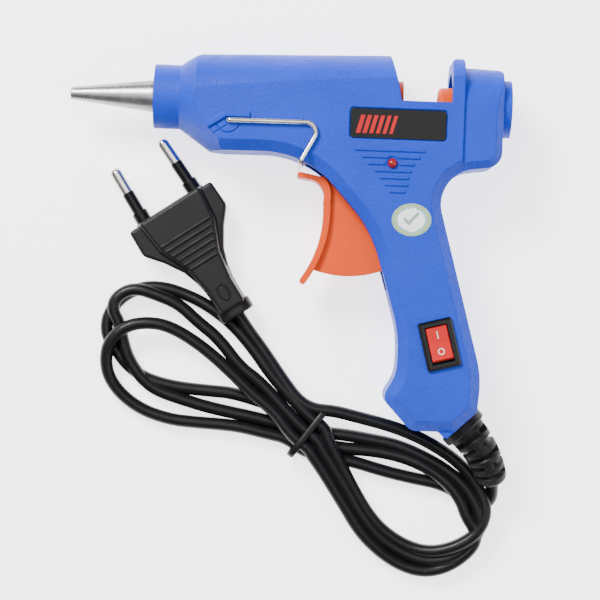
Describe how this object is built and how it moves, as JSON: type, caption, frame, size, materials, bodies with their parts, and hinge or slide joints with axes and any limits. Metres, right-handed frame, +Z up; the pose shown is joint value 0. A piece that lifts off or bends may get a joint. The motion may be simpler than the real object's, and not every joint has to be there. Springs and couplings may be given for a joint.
{
  "type": "glue gun",
  "caption": "Pistol-shaped hot-melt glue gun with a conical nozzle, squeeze trigger, stick inlet, rocker switch, folding wire stand and a mains cord tied in a hank with a flat plug.",
  "frame": {"origin": "under the middle of the gun's own box, without its cord, on the surface that it lies on", "axes": "+X from the nozzle to the stick inlet, +Y from the handle's foot to the top of the barrel, +Z up, out of the left side of the gun"},
  "size_m": [0.1413, 0.1679, 0.0313],
  "materials": {
    "blue_shell": "satin",
    "screw_steel": "satin",
    "label_film": "gloss",
    "sticker_film": "gloss",
    "red_lens": "gloss",
    "resistor_body": "matte",
    "black_gloss": "gloss",
    "brass_tab": "satin",
    "red_rocker": "gloss",
    "nozzle_metal": "satin",
    "cast_aluminium": "matte",
    "heater_cell": "matte",
    "spring_steel": "satin",
    "red_silicone": "matte",
    "orange_plastic": "satin",
    "pin_steel": "satin",
    "wire_steel": "gloss",
    "black_rubber": "satin",
    "black_cord": "satin",
    "brown_wire": "satin",
    "blue_wire": "satin",
    "tie_plastic": "satin",
    "plug_plastic": "satin",
    "nickel_pin": "gloss"
  },
  "bodies": {
    "housing": {"left_shell": "blue_shell", "right_shell": "blue_shell", "shell_screws": "screw_steel", "label_plate": "label_film", "rating_sticker": "sticker_film", "indicator_led": "red_lens", "led_resistor": "resistor_body", "switch_housing": "black_gloss", "switch_terminals": "brass_tab", "nozzle": "nozzle_metal", "melt_barrel": "cast_aluminium", "ptc_heater": "heater_cell", "heater_clip": "spring_steel", "inlet_sleeve": "red_silicone", "sleeve_clamp": "spring_steel", "trigger_pin": "pin_steel", "return_spring": "spring_steel", "cord_guard": "black_rubber", "cord_clamp": "black_gloss", "clamp_screws": "screw_steel", "inner_cord": "black_cord", "live_lead": "brown_wire", "switched_lead": "brown_wire", "neutral_lead": "blue_wire", "cord_exit": "black_cord", "cord_to_plug": "black_cord", "hank_left": "black_cord", "hank_right": "black_cord", "cord_tie": "tie_plastic", "plug_body": "plug_plastic", "plug_pins": "nickel_pin", "pin_sleeves": "black_gloss"},
    "trigger": {"trigger": "orange_plastic"},
    "carriage": {"feed_carriage": "orange_plastic", "gripper_pin": "pin_steel"},
    "gripper": {"stick_gripper": "spring_steel"},
    "rocker": {"switch_rocker": "red_rocker"},
    "stand": {"stand_wire": "wire_steel"}
  },
  "joints": [
    {"name": "trigger_pivot", "type": "hinge", "parent": "housing", "child": "trigger", "pos_m": [0.0255, 0.0215, 0.01525], "axis": [0, 0, 1], "range_deg": [0, 20], "stiffness_Nm_per_rad": 0.1},
    {"name": "feed_slide", "type": "slide", "parent": "housing", "child": "carriage", "axis": [1, 0, 0], "range_m": [-0.0052, 0], "deforming": ["return_spring"]},
    {"name": "gripper_pivot", "type": "hinge", "parent": "carriage", "child": "gripper", "pos_m": [0.0402, 0.0362, 0.01525], "axis": [0, 0, 1], "range_deg": [0, 8]},
    {"name": "rocker_pivot", "type": "hinge", "parent": "housing", "child": "rocker", "pos_m": [0.0485, -0.03015, 0.02745], "axis": [0.9668, 0.2554, 0], "range_deg": [0, 16]},
    {"name": "stand_pivot", "type": "hinge", "parent": "housing", "child": "stand", "pos_m": [-0.0188, 0.036, 0.01525], "axis": [0, 0, 1], "range_deg": [-50, 0]}
  ],
  "couplings": [
    {"joint": "feed_slide", "follows": "trigger_pivot", "m_per_rad": -0.01485},
    {"joint": "gripper_pivot", "follows": "trigger_pivot", "ratio": 0.4}
  ]
}
